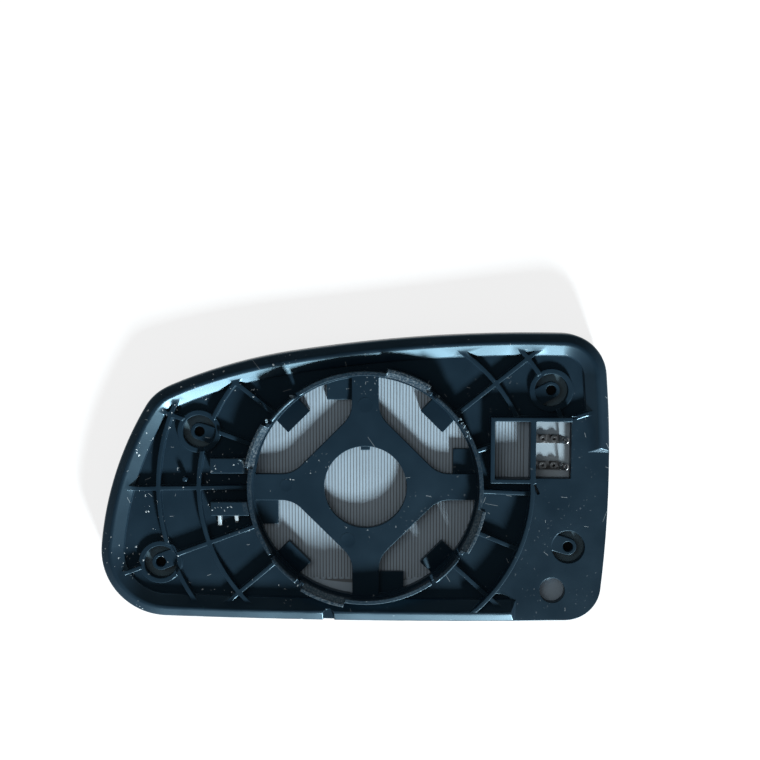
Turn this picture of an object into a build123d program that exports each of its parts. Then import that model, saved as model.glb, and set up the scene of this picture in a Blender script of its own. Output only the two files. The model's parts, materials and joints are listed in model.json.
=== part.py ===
from build123d import *
import os
from math import atan2, cos, degrees, hypot, radians, sin, sqrt, tan

os.makedirs("parts", exist_ok=True)

# Back of the mirror faces +Z. The origin is on the socket axis, in the seat plane of the spokes.
# "Height" means the distance above the glued underside of the carrier, along the mirror's curvature.

# Layers of the stack
MIRROR_RADIUS = 1250.0
GLASS_THICK = 2.0
FILM_THICK = 0.5
BOND_GAP = 0.05
FLOOR_THICK = 1.7
SEAT_HEIGHT = 3.7

# Carrier edge
SKIRT_WALL = 1.6
EDGE_GAP = 0.15
LIP_THICK = 1.0
LIP_OVERLAP = 0.8
LIP_GAP = 0.05
FILM_INSET = 1.2
RIM_HEIGHT = 3.1
RIM_CREST = 1.1
RIM_INNER_SLOPE = (3.8, 2.3)
RIM_OUTER_SLOPE = (3.0, 1.45)
RIM_CREST_ROUND = 1.5
RIM_EDGE_ROUND = 1.0
RIM_END_BOTTOM = 58.2
RIM_END_SIDE = 8.6
RIM_END_SLOPE = 38.0
NOTCH_X = -13.5
NOTCH_WIDTH = 4.0
NOTCH_DEPTH = 4.6

# Outline, seen from the back: corners, a point on each bowed side, and corner radii
LOWER_LEFT = (-94.8, -45.4)
UPPER_LEFT = (-75.2, 34.6)
BROW = (-27.0, 49.0)
UPPER_RIGHT = (84.2, 55.2)
LOWER_RIGHT = (83.7, -48.4)
LEFT_BOW = (-92.6, -5.4)
TOP_BOW = (28.0, 54.8)
RIGHT_BOW = (87.4, 4.0)
BOTTOM_BOW = (-4.0, -49.3)
LOWER_LEFT_ROUND = 24.0
UPPER_LEFT_ROUND = 17.0
UPPER_RIGHT_ROUND = 15.7
LOWER_RIGHT_ROUND = 13.0

# Actuator socket, one quarter repeated four times
SOCKET_RADIUS = 40.8
SEAT_STEP = 0.8
RING_WALL = 1.6
RING_HEIGHT = 4.2
GUIDE_WALL = 3.2
GUIDE_HEIGHT = 4.6
GUIDE_CHAMFER = 1.9
GUIDE_START = 57.5
GUIDE_ARC = 22.0
TOWER_WALL = 1.3
TOWER_HEIGHT = 6.8
TOWER_ARC = 16.0
TOWER_CHAMFER = 0.5
SLOT_WIDTH = 1.3
SLOT_ARC = 18.6
TAB_REACH = 6.4
TAB_WIDTH = 11.2
TAB_RISE = 1.4
STOP_REACH = 8.4
STOP_WIDTH = 9.0
SPOKE_WIDTH = 9.7
HUB_FLAT = 22.0
HUB_ROUND = 10.0
HUB_THICK = 2.0
HUB_BORE = 14.85
KEY_WIDTH = 3.4
KEY_REACH = 1.6
KEY_THICK = 0.9
QUARTERS = (0, 90, 180, 270)

# Ribs
RIB_WIDTH = 1.6
RIB_HEIGHT = 2.1
INNER_ARC = 60.0
OUTER_ARC = 74.4
RIB_ANGLES = (39.0, 140.5, 159.0, 180.0, 199.6, 220.0, 318.0)
SHORT_RIB_ANGLES = (18.3, -2.0, -22.3)
PEG_AT = (-64.8, 3.3)
PEG_RADIUS = 0.9
PEG_HEIGHT = 2.6

# Cored bosses and the raised corner
BOSSES = ((-59.6, 20.4), (-74.2, -27.2), (66.4, 35.3), (73.3, -21.7))
BOSS_HEIGHT = 1.2
BOSS_RADIUS = 7.8
CORE_RADIUS = 5.9
TUBE_RADIUS = 3.1
PILOT_RADIUS = 1.8
TUBE_DROP = 0.6
CORNER_RIB_ANGLE = 18.8
GUTTER_X = 54.0
GUTTER_Y = -39.4
GUTTER_ROUND = 5.0
VENT_AT = (67.7, -37.7)
VENT_RADIUS = 4.5

# Connector window, two cells with raised walls
WALL_HEIGHT = 3.8
WINDOW_LEFT = 46.4
WINDOW_BOTTOM = 3.4
WINDOW_TOP = 24.2
CELL_LEFT = 12.6
DIVIDER = 2.0
CELL_RIGHT = 12.8
WINDOW_WALL = 1.6
SLIT_AT = (61.6, -0.4)
SLIT_WIDTH = 0.9
SLIT_LENGTH = 4.4
SLIT_ANGLE = 24.0

# Guide blocks beside the socket
BLOCK_OUTER = -55.6
BLOCK_INNER = -41.8
UPPER_BLOCK = (5.5, 11.0)
LOWER_BLOCK = (-9.9, -4.8)
BLOCK_TOP = 3.0
GUSSETS = ((-52.6, 6.2), (-46.6, 4.2))
GUSSET_WIDTH = 1.3
GUSSET_TOP = 2.5

# Heater terminals
PATCH_THICK = 0.3
PATCH_GAP = 0.2
TERMINAL_THICK = 0.6
TERMINAL_WIDTH = 3.2
TERMINAL_BASE = 8.4
BLADE_LENGTH = 5.4
BLADE_ANGLE = 56.0
BLADE_WIDTH = 2.8
BLADE_HOLE = 0.7
BEND_RADIUS = 0.5
TERMINAL_START = 61.6
TERMINAL_ROWS = {"terminal_upper": 17.5, "terminal_lower": 7.85}
RIVET_FIRST = 2.4
RIVET_PITCH = 4.0
RIVET_HEAD = 1.35
RIVET_HEAD_THICK = 0.4
RIVET_SHANK = 0.8
RIVET_DIMPLE = 0.5
RIVET_GAP = 0.05

FAR = 40.0
RIM_WIDTH = RIM_OUTER_SLOPE[0] + RIM_CREST + RIM_INNER_SLOPE[0]
OPENING_RADIUS = SOCKET_RADIUS - SEAT_STEP
PACK_THICK = GLASS_THICK + FILM_THICK + 2 * BOND_GAP
GLUE_RADIUS = MIRROR_RADIUS - PACK_THICK
GLUE_Z = -SEAT_HEIGHT
CENTRE_Z = GLUE_Z + GLUE_RADIUS
LIP_LOW = -(PACK_THICK + LIP_GAP + LIP_THICK)


def ball(height):
    """All points more than this height above the glued face."""
    return Pos(0, 0, CENTRE_Z) * Sphere(GLUE_RADIUS - height, rotation=(90, 0, 0))


def prism(sketch, low=-FAR, high=FAR):
    return extrude(Pos(0, 0, low) * sketch, high - low, dir=(0, 0, 1))


def layer(sketch, low, high):
    """The sketch as a curved slab between two heights."""
    return (prism(sketch) & ball(low)) - ball(high)


def surface_z(x, y, height):
    radius = GLUE_RADIUS - height
    return CENTRE_Z - sqrt(radius * radius - x * x - y * y)


def patch_between(x0, y0, x1, y1):
    return Pos((x0 + x1) / 2, (y0 + y1) / 2) * Rectangle(x1 - x0, y1 - y0)


def spoke_strip(angle, start, end, width):
    return Rot(0, 0, angle) * patch_between(start, -width / 2, end, width / 2)


def ring_strip(radius, width):
    return Circle(radius + width / 2) - Circle(radius - width / 2)


def circle_through(a, b, c):
    """Centre and radius of the circle through three points."""
    d = 2 * (a[0] * (b[1] - c[1]) + b[0] * (c[1] - a[1]) + c[0] * (a[1] - b[1]))
    sa = a[0] ** 2 + a[1] ** 2
    sb = b[0] ** 2 + b[1] ** 2
    sc = c[0] ** 2 + c[1] ** 2
    x = (sa * (b[1] - c[1]) + sb * (c[1] - a[1]) + sc * (a[1] - b[1])) / d
    y = (sa * (c[0] - b[0]) + sb * (a[0] - c[0]) + sc * (b[0] - a[0])) / d
    return (x, y), hypot(a[0] - x, a[1] - y)


def circle_touching(circle, at, through):
    """The circle through one point that touches another circle at a point on it."""
    (x, y), radius = circle
    nx = (x - at[0]) / radius
    ny = (y - at[1]) / radius
    dx = through[0] - at[0]
    dy = through[1] - at[1]
    reach = (dx * dx + dy * dy) / (2 * (dx * nx + dy * ny))
    return (at[0] + nx * reach, at[1] + ny * reach), reach


def meeting_point(first, second, near):
    """Where two circles cross, at the crossing nearest to a point."""
    (x0, y0), r0 = first
    (x1, y1), r1 = second
    gap = hypot(x1 - x0, y1 - y0)
    along = (gap * gap + r0 * r0 - r1 * r1) / (2 * gap)
    aside = sqrt(r0 * r0 - along * along)
    ux = (x1 - x0) / gap
    uy = (y1 - y0) / gap
    crossings = [(x0 + along * ux - s * uy, y0 + along * uy + s * ux) for s in (aside, -aside)]
    return min(crossings, key=lambda p: hypot(p[0] - near[0], p[1] - near[1]))


def side_arc(start, end, circle):
    """The bowed side from start to end on its circle."""
    (x, y), radius = circle
    mx = (start[0] + end[0]) / 2 - x
    my = (start[1] + end[1]) / 2 - y
    scale = radius / hypot(mx, my)
    return ThreePointArc(start, (x + mx * scale, y + my * scale), end)


def inset(distance):
    """The outline of the carrier, drawn in by a distance on every side."""
    sides = {
        "left": circle_through(LOWER_LEFT, LEFT_BOW, UPPER_LEFT),
        "top": circle_through(BROW, TOP_BOW, UPPER_RIGHT),
        "right": circle_through(UPPER_RIGHT, RIGHT_BOW, LOWER_RIGHT),
        "bottom": circle_through(LOWER_RIGHT, BOTTOM_BOW, LOWER_LEFT),
    }
    sides["brow"] = circle_touching(sides["top"], BROW, UPPER_LEFT)
    (x, y), radius = sides["top"]
    brow = (
        BROW[0] + (x - BROW[0]) * distance / radius,
        BROW[1] + (y - BROW[1]) * distance / radius,
    )
    drawn = {name: (centre, size - distance) for name, (centre, size) in sides.items()}
    lower_left = meeting_point(drawn["bottom"], drawn["left"], LOWER_LEFT)
    upper_left = meeting_point(drawn["left"], drawn["brow"], UPPER_LEFT)
    upper_right = meeting_point(drawn["top"], drawn["right"], UPPER_RIGHT)
    lower_right = meeting_point(drawn["right"], drawn["bottom"], LOWER_RIGHT)
    arcs = [
        side_arc(lower_left, upper_left, drawn["left"]),
        side_arc(upper_left, brow, drawn["brow"]),
        side_arc(brow, upper_right, drawn["top"]),
        side_arc(upper_right, lower_right, drawn["right"]),
        side_arc(lower_right, lower_left, drawn["bottom"]),
    ]
    face = Face(Wire(arcs))
    rounds = (
        (lower_left, LOWER_LEFT_ROUND),
        (upper_left, UPPER_LEFT_ROUND),
        (upper_right, UPPER_RIGHT_ROUND),
        (lower_right, LOWER_RIGHT_ROUND),
    )
    for point, size in rounds:
        vertex = face.vertices().sort_by_distance(point)[0]
        face = face.fillet_2d(size - distance, [vertex])
    return Sketch() + face


def crest_of(solid):
    """The uppermost face that follows the mirror's curvature."""
    return solid.faces().filter_by(GeomType.SPHERE).sort_by(Axis.Z)[-1]


def edges_at(solid, height):
    """The edges that run along the solid at one height."""
    found = []
    for edge in solid.edges():
        middle = edge @ 0.5
        edge_height = GLUE_RADIUS - hypot(middle.X, middle.Y, middle.Z - CENTRE_Z)
        if abs(edge_height - height) < 0.1:
            found.append(edge)
    return found


outline = inset(0)

# Window cells, cut through the carrier
cell_split = WINDOW_LEFT + CELL_LEFT
right_start = cell_split + DIVIDER
right_end = right_start + CELL_RIGHT
left_cell = patch_between(WINDOW_LEFT, WINDOW_BOTTOM, cell_split, WINDOW_TOP)
right_cell = patch_between(right_start, WINDOW_BOTTOM, right_end, WINDOW_TOP)
window = patch_between(
    WINDOW_LEFT - WINDOW_WALL,
    WINDOW_BOTTOM - WINDOW_WALL,
    right_end + WINDOW_WALL,
    WINDOW_TOP + WINDOW_WALL,
)

# Slab with the pocket for the glass and the lip in front of it
plate = layer(outline, LIP_LOW, FLOOR_THICK)
plate -= layer(inset(SKIRT_WALL), -(PACK_THICK + LIP_GAP), 0)
plate -= layer(inset(SKIRT_WALL + LIP_OVERLAP), LIP_LOW - 1, -(PACK_THICK + LIP_GAP) + 0.02)

# Rounded rim, open at the lower right corner
rim = layer(outline - inset(RIM_WIDTH), FLOOR_THICK / 2, FLOOR_THICK + RIM_HEIGHT)
rim = chamfer(crest_of(rim).outer_wire().edges(), *RIM_OUTER_SLOPE, reference=crest_of(rim))
rim = chamfer(crest_of(rim).inner_wires()[0].edges(), *RIM_INNER_SLOPE, reference=crest_of(rim))
rim = fillet(edges_at(rim, FLOOR_THICK + RIM_HEIGHT - RIM_OUTER_SLOPE[1]), RIM_EDGE_ROUND)
rim = fillet(crest_of(rim).outer_wire().edges(), RIM_CREST_ROUND)
rim = fillet(crest_of(rim).inner_wires()[0].edges(), RIM_CREST_ROUND)
open_corner = patch_between(RIM_END_BOTTOM, -2 * FAR, 3 * FAR, RIM_END_SIDE)
corner_tool = extrude(Pos(0, 0, GLUE_Z) * open_corner, FAR, taper=-RIM_END_SLOPE)
rim -= corner_tool
notch = Pos(NOTCH_X, BOTTOM_BOW[1] + NOTCH_DEPTH - NOTCH_WIDTH / 2) * Circle(NOTCH_WIDTH / 2)
notch += patch_between(
    NOTCH_X - NOTCH_WIDTH / 2,
    BOTTOM_BOW[1] - NOTCH_WIDTH,
    NOTCH_X + NOTCH_WIDTH / 2,
    BOTTOM_BOW[1] + NOTCH_DEPTH - NOTCH_WIDTH / 2,
)
rim -= layer(notch, FLOOR_THICK, FLOOR_THICK + RIM_HEIGHT + 1)

# Raised corner and boss rings
inner_field = inset(RIM_WIDTH / 2)
slope = sin(radians(CORNER_RIB_ANGLE)) / cos(radians(CORNER_RIB_ANGLE))
below_rib = Polygon((0, 0), (3 * FAR, 3 * FAR * slope), (3 * FAR, -2 * FAR), (0, -2 * FAR), align=None)
corner = (outline & below_rib) - Circle(INNER_ARC)
gutter = patch_between(0, -2 * FAR, GUTTER_X, GUTTER_Y)
gutter = fillet(gutter.vertices().sort_by_distance((GUTTER_X, GUTTER_Y))[0], GUTTER_ROUND)
corner -= gutter
rim_foot = RIM_END_SIDE + tan(radians(RIM_END_SLOPE)) * (
    surface_z(RIGHT_BOW[0], RIM_END_SIDE, FLOOR_THICK + BOSS_HEIGHT) - GLUE_Z
)
corner -= (outline - inner_field) & patch_between(0, rim_foot, 3 * FAR, 2 * FAR)
raised = corner
for place in BOSSES:
    raised += Pos(*place) * Circle(BOSS_RADIUS)
raised &= outline

# Ribs: rings and spokes around the socket axis, and the walls of the window
ribs = ring_strip(INNER_ARC, RIB_WIDTH) + ring_strip(OUTER_ARC, RIB_WIDTH)
for angle in RIB_ANGLES:
    ribs += spoke_strip(angle, OPENING_RADIUS + 1, 3 * FAR, RIB_WIDTH)
for angle in SHORT_RIB_ANGLES:
    ribs += spoke_strip(angle, OPENING_RADIUS + 1, INNER_ARC, RIB_WIDTH)
ribs += spoke_strip(CORNER_RIB_ANGLE, right_end, 3 * FAR, RIB_WIDTH)
ribs &= inner_field
ribs -= corner - spoke_strip(CORNER_RIB_ANGLE, right_end, 3 * FAR, RIB_WIDTH)
ribs -= window
for place in BOSSES:
    ribs -= Pos(*place) * Circle(BOSS_RADIUS - RIB_WIDTH / 2)
walls = patch_between(WINDOW_LEFT - WINDOW_WALL, WINDOW_BOTTOM - WINDOW_WALL, WINDOW_LEFT, WINDOW_TOP)
walls += patch_between(WINDOW_LEFT - WINDOW_WALL, WINDOW_TOP, right_end, WINDOW_TOP + WINDOW_WALL)
walls += patch_between(WINDOW_LEFT - WINDOW_WALL, WINDOW_BOTTOM - WINDOW_WALL, cell_split, WINDOW_BOTTOM)
walls += patch_between(cell_split, WINDOW_BOTTOM - WINDOW_WALL, right_start, WINDOW_TOP)
tall_arc = ring_strip(INNER_ARC, RIB_WIDTH) & patch_between(0, -2 * FAR, 2 * FAR, WINDOW_BOTTOM - WINDOW_WALL / 2)
walls += tall_arc & inner_field
peg = Pos(*PEG_AT) * Circle(PEG_RADIUS)

# Socket
opening = Circle(OPENING_RADIUS)
tab = patch_between(OPENING_RADIUS - TAB_REACH, -TAB_WIDTH / 2, SOCKET_RADIUS, TAB_WIDTH / 2)
stop = patch_between(-SPOKE_WIDTH / 2 - STOP_WIDTH, OPENING_RADIUS - STOP_REACH, 0, SOCKET_RADIUS)
for turn in QUARTERS:
    opening -= Rot(0, 0, turn + 45) * tab
    opening -= Rot(0, 0, turn) * (stop & Circle(OPENING_RADIUS + RING_WALL / 2))

hub = Rot(0, 0, 45) * Rectangle(2 * HUB_FLAT, 2 * HUB_FLAT)
hub += Rectangle(2 * SOCKET_RADIUS, SPOKE_WIDTH) + Rectangle(SPOKE_WIDTH, 2 * SOCKET_RADIUS)
crook = HUB_FLAT * sqrt(2) - SPOKE_WIDTH / 2
crooks = []
for vertex in hub.vertices():
    if abs(abs(vertex.X) + abs(vertex.Y) - crook - SPOKE_WIDTH / 2) < 0.01:
        crooks.append(vertex)
hub = fillet(crooks, HUB_ROUND)
hub = (hub & Circle(OPENING_RADIUS + RING_WALL / 2)) - Circle(HUB_BORE)
key = patch_between(-KEY_WIDTH / 2, HUB_BORE - KEY_REACH, KEY_WIDTH / 2, HUB_BORE + 1)


def wedge(start, sweep):
    """A wide triangle from the socket axis, for cutting a stretch out of a ring."""
    reach = 2 * SOCKET_RADIUS
    first = radians(start)
    last = radians(start + sweep)
    return Polygon(
        (0, 0),
        (reach * cos(first), reach * sin(first)),
        (reach * cos(last), reach * sin(last)),
        align=None,
    )


def funnel(height, chamfer):
    """A cone that eases the inner edge of a wall of this height."""
    profile = Polygon(
        (0, height - chamfer - SOCKET_RADIUS),
        (SOCKET_RADIUS + chamfer + 1, height + 1),
        (0, height + 1),
        align=None,
    )
    return revolve(Plane.XZ * profile, Axis.Z, 360)


def socket_band(wall):
    return Circle(SOCKET_RADIUS + wall) - Circle(SOCKET_RADIUS)


plain_area = socket_band(RING_WALL)
guide_wedges = Sketch()
tower_wedges = Sketch()
for turn in QUARTERS:
    guide_wedges += wedge(turn + GUIDE_START, GUIDE_ARC)
    tower_wedges += wedge(turn + 45 - TOWER_ARC / 2, TOWER_ARC)
    for side in (-1, 1):
        slot_turn = turn + 45 + side * SLOT_ARC / 2
        plain_area -= spoke_strip(slot_turn, OPENING_RADIUS - 1, SOCKET_RADIUS + 3, SLOT_WIDTH)
plain_area -= guide_wedges + tower_wedges
ring = prism(Circle(SOCKET_RADIUS + RING_WALL) - Circle(OPENING_RADIUS), -FAR, 0) & ball(FLOOR_THICK / 2)
ring += prism(plain_area, 0, RING_HEIGHT)
guides = prism(socket_band(GUIDE_WALL) & guide_wedges, 0, GUIDE_HEIGHT) - funnel(GUIDE_HEIGHT, GUIDE_CHAMFER)
towers = prism(socket_band(TOWER_WALL) & tower_wedges, 0, TOWER_HEIGHT) - funnel(TOWER_HEIGHT, TOWER_CHAMFER)
ring += guides
ring += towers

# Tabs below the towers, sloping down towards the ring
tab_start = OPENING_RADIUS - TAB_REACH
tab_end = OPENING_RADIUS + SEAT_STEP / 2
tab_high = surface_z(tab_start, 0, FLOOR_THICK) + TAB_RISE
tab_fall = (tab_high - surface_z(OPENING_RADIUS, 0, FLOOR_THICK)) / TAB_REACH
ramp = Polygon(
    (tab_start, surface_z(tab_start, 0, FLOOR_THICK / 2)),
    (tab_end, surface_z(tab_end, 0, FLOOR_THICK / 2)),
    (tab_end, tab_high - tab_fall * (tab_end - tab_start)),
    (tab_start, tab_high),
    align=None,
)
ramp = extrude(Plane.XZ * ramp, TAB_WIDTH / 2, both=True)

# Guide blocks with their gussets
blocks = []
for low, high in (UPPER_BLOCK, LOWER_BLOCK):
    pad = patch_between(BLOCK_OUTER, low, BLOCK_INNER, high)
    blocks.append(prism(pad, -FAR, BLOCK_TOP) & ball(FLOOR_THICK / 2))
for x, reach in GUSSETS:
    edge = LOWER_BLOCK[0]
    foot = surface_z(x, edge - reach, FLOOR_THICK / 2)
    web = Polygon((edge + 1, foot), (edge + 1, GUSSET_TOP), (edge, GUSSET_TOP), (edge - reach, foot), align=None)
    blocks.append(extrude(Plane.YZ.offset(x - GUSSET_WIDTH / 2) * web, GUSSET_WIDTH))

# One moulding
plate = plate - prism(opening)
plate += rim
plate += layer(raised, FLOOR_THICK / 2, FLOOR_THICK + BOSS_HEIGHT)
plate += layer(ribs, FLOOR_THICK / 2, FLOOR_THICK + RIB_HEIGHT)
plate += layer(walls, FLOOR_THICK / 2, FLOOR_THICK + WALL_HEIGHT)
plate += layer(peg, FLOOR_THICK / 2, FLOOR_THICK + PEG_HEIGHT)
plate += ring
plate += [Rot(0, 0, turn + 45) * ramp for turn in QUARTERS]
plate += prism(hub, -HUB_THICK, 0)
plate += prism(key, -HUB_THICK, -HUB_THICK + KEY_THICK)
plate += blocks

cuts = left_cell + right_cell + Pos(*VENT_AT) * Circle(VENT_RADIUS)
cuts += Pos(*SLIT_AT) * Rot(0, 0, SLIT_ANGLE) * Rectangle(SLIT_WIDTH, SLIT_LENGTH)
for x, y in BOSSES:
    core = Circle(CORE_RADIUS) - Circle(TUBE_RADIUS)
    core -= spoke_strip(degrees(atan2(-y, -x)), 0, BOSS_RADIUS, 2 * TUBE_RADIUS)
    cuts += Pos(x, y) * (core + Circle(PILOT_RADIUS))
plate -= prism(cuts)
for place in BOSSES:
    core_top = FLOOR_THICK + BOSS_HEIGHT
    plate -= layer(Pos(*place) * Circle(CORE_RADIUS), core_top - TUBE_DROP, core_top + 1)

# Glass and heater film
glass = layer(inset(SKIRT_WALL + EDGE_GAP), -PACK_THICK, -(FILM_THICK + 2 * BOND_GAP))
film = layer(inset(SKIRT_WALL + EDGE_GAP + FILM_INSET), -(FILM_THICK + BOND_GAP), -BOND_GAP)

# Terminals on their patch, riveted through the film
patch_area = patch_between(
    right_start + PATCH_GAP,
    WINDOW_BOTTOM + PATCH_GAP,
    right_end - PATCH_GAP,
    WINDOW_TOP - PATCH_GAP,
)
patch_low = 0.0
patch = layer(patch_area, patch_low, patch_low + PATCH_THICK)
terminals = {}
rivets = []
for name, row in TERMINAL_ROWS.items():
    middle = TERMINAL_START + TERMINAL_BASE / 2
    foot_z = surface_z(middle, row, patch_low + PATCH_THICK + BOND_GAP)
    normal = Vector(-middle, -row, CENTRE_Z - foot_z).normalized()
    seat = Plane((middle, row, foot_z), x_dir=(1, 0, middle / (CENTRE_Z - foot_z)), z_dir=normal)
    base_end = TERMINAL_BASE / 2
    run = cos(radians(BLADE_ANGLE))
    rise = sin(radians(BLADE_ANGLE))
    elbow = base_end - TERMINAL_THICK * tan(radians(BLADE_ANGLE / 2))
    shape = Polygon(
        (-base_end, 0),
        (base_end, 0),
        (base_end + BLADE_LENGTH * run, BLADE_LENGTH * rise),
        (base_end + BLADE_LENGTH * run - TERMINAL_THICK * rise, BLADE_LENGTH * rise + TERMINAL_THICK * run),
        (elbow, TERMINAL_THICK),
        (-base_end, TERMINAL_THICK),
        align=None,
    )
    shape = fillet(shape.vertices().sort_by_distance((base_end, 0))[0], BEND_RADIUS + TERMINAL_THICK)
    shape = fillet(shape.vertices().sort_by_distance((elbow, TERMINAL_THICK))[0], BEND_RADIUS)
    strip = extrude(Plane.XZ * shape, TERMINAL_WIDTH / 2, both=True)
    blade_tip = BLADE_LENGTH - BLADE_WIDTH / 2
    tongue = patch_between(0, -BLADE_WIDTH / 2, blade_tip, BLADE_WIDTH / 2)
    tongue += Pos(blade_tip, 0) * Circle(BLADE_WIDTH / 2)
    tongue -= Pos(blade_tip, 0) * Circle(BLADE_HOLE)
    trim = patch_between(2 * TERMINAL_THICK, -TERMINAL_WIDTH, 2 * BLADE_LENGTH, TERMINAL_WIDTH) - tongue
    blade_plane = Plane((base_end, 0, 0), x_dir=(run, 0, rise), z_dir=(-rise, 0, run))
    strip -= extrude(blade_plane * trim, 1.5 * TERMINAL_THICK, both=True)
    for number in (0, 1):
        x = -base_end + RIVET_FIRST + number * RIVET_PITCH
        strip -= Pos(x, 0, 0) * Cylinder(RIVET_SHANK + RIVET_GAP, 4 * TERMINAL_THICK)
        head = Pos(x, 0, TERMINAL_THICK + RIVET_GAP) * Cylinder(
            RIVET_HEAD, RIVET_HEAD_THICK, align=(Align.CENTER, Align.CENTER, Align.MIN)
        )
        depth = TERMINAL_THICK + RIVET_GAP + BOND_GAP + PATCH_THICK + BOND_GAP + FILM_THICK / 2
        shank = Pos(x, 0, TERMINAL_THICK + RIVET_GAP) * Cylinder(
            RIVET_SHANK, depth, align=(Align.CENTER, Align.CENTER, Align.MAX)
        )
        dimple = Pos(x, 0, 0) * Cylinder(RIVET_DIMPLE, 2 * (TERMINAL_THICK + RIVET_HEAD_THICK + RIVET_GAP))
        rivet = head + shank - dimple
        rivets.append(seat.location * rivet)
        bore = seat.location * (Pos(x, 0, 0) * Cylinder(RIVET_SHANK + RIVET_GAP, 8))
        patch -= bore
        film -= bore
    terminals[name] = seat.location * strip

export_step(plate, "parts/carrier_plate.step")
export_step(glass, "parts/mirror_glass.step")
export_step(film, "parts/heater_film.step")
export_step(patch, "parts/terminal_patch.step")
for name, solid in terminals.items():
    export_step(solid, f"parts/{name}.step")
export_step(Compound(children=rivets), "parts/rivets.step")
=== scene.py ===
"""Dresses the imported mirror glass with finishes, fine pieces and a plain stage."""

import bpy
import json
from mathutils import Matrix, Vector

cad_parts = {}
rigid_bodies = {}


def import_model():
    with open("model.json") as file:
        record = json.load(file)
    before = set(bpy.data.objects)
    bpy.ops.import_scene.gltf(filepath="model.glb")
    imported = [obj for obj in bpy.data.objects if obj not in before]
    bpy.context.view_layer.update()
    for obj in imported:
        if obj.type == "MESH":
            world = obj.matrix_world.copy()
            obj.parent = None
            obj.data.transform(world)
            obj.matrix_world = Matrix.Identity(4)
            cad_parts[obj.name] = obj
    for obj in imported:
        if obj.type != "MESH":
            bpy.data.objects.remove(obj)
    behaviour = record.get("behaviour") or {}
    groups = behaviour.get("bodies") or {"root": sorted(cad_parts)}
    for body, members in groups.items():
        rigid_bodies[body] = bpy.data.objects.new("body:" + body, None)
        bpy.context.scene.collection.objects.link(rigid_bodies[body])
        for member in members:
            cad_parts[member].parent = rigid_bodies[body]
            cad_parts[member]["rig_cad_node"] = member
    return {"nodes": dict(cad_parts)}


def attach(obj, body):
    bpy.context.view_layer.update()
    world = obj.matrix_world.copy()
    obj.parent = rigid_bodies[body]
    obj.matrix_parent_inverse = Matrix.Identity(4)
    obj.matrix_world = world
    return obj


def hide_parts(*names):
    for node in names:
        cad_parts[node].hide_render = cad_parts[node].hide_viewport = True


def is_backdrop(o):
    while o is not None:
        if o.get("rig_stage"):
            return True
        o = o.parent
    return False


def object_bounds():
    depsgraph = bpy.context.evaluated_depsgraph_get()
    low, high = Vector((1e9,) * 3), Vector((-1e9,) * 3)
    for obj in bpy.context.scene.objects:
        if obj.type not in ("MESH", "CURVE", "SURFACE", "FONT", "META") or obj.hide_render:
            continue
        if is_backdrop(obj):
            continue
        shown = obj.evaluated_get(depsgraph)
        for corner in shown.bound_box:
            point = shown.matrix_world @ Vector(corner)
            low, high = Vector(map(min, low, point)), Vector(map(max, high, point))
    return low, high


bl_info = {
    "name": "Door mirror glass",
    "version": (1, 0, 0),
    "blender": (4, 5, 0),
    "location": "View3D > Sidebar > Mirror",
    "description": "Builds the visible pieces, finishes and stage of a heated door mirror glass",
    "category": "Object",
}

import json
from math import cos, pi, radians, sin

import bpy
from mathutils import Vector

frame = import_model()
CAD_LOW, CAD_HIGH = (corner.copy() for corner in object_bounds())
MM = 0.001
TRACK_PITCH = 1.12


# Settings


class CarrierSettings(bpy.types.PropertyGroup):
    edge_round: bpy.props.FloatProperty(
        name="Edge round",
        description="Rounding of the moulded edges",
        default=0.3 * MM,
        precision=5,
        unit="LENGTH",
    )
    plastic: bpy.props.FloatVectorProperty(
        name="Plastic",
        description="Colour of the black moulding",
        default=(0.0034, 0.0094, 0.0167),
        size=3,
        subtype="COLOR",
    )
    # Edge colour: on the rounded edges it is partly rubbed wear and partly painted highlight; it
    # also colours the torn bits
    wear_and_highlight: bpy.props.FloatVectorProperty(
        name="Worn edge",
        description="Colour of rubbed edges and torn bits",
        default=(0.035, 0.046, 0.053),
        size=3,
        subtype="COLOR",
    )
    # The dust colour also paints the highlight on the two small gussets
    dust: bpy.props.FloatVectorProperty(
        name="Dust",
        description="Colour of the dust flecks",
        default=(0.34, 0.37, 0.38),
        size=3,
        subtype="COLOR",
    )


class FilmSettings(bpy.types.PropertyGroup):
    pitch: bpy.props.FloatProperty(
        name="Track pitch",
        description="Distance between neighbouring heating tracks",
        default=TRACK_PITCH * MM,
        precision=5,
        unit="LENGTH",
    )
    track_width: bpy.props.FloatProperty(
        name="Track width",
        description="Width of one printed track",
        default=0.78 * MM,
        precision=5,
        unit="LENGTH",
    )
    track_thick: bpy.props.FloatProperty(
        name="Track thickness",
        description="Thickness of the printed track",
        default=0.03 * MM,
        precision=6,
        unit="LENGTH",
    )
    track: bpy.props.FloatVectorProperty(
        name="Track",
        description="Colour of the printed tracks and the plain film around them",
        default=(0.2, 0.255, 0.3),
        size=3,
        subtype="COLOR",
    )
    film: bpy.props.FloatVectorProperty(
        name="Film",
        description="Colour of the film between the tracks",
        default=(0.085, 0.1, 0.11),
        size=3,
        subtype="COLOR",
    )
    patch: bpy.props.FloatVectorProperty(
        name="Patch",
        description="Colour of the plain patch under the terminals",
        default=(0.21, 0.255, 0.285),
        size=3,
        subtype="COLOR",
    )


class MetalSettings(bpy.types.PropertyGroup):
    strip: bpy.props.FloatVectorProperty(
        name="Strip",
        description="Colour of the tinned terminals",
        default=(0.34, 0.345, 0.355),
        size=3,
        subtype="COLOR",
    )
    tarnish: bpy.props.FloatVectorProperty(
        name="Tarnish",
        description="Colour of the dull spots on the metal",
        default=(0.08, 0.08, 0.08),
        size=3,
        subtype="COLOR",
    )
    edge_round: bpy.props.FloatProperty(
        name="Edge round",
        description="Rounding of the stamped edges",
        default=0.07 * MM,
        precision=6,
        unit="LENGTH",
    )


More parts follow.
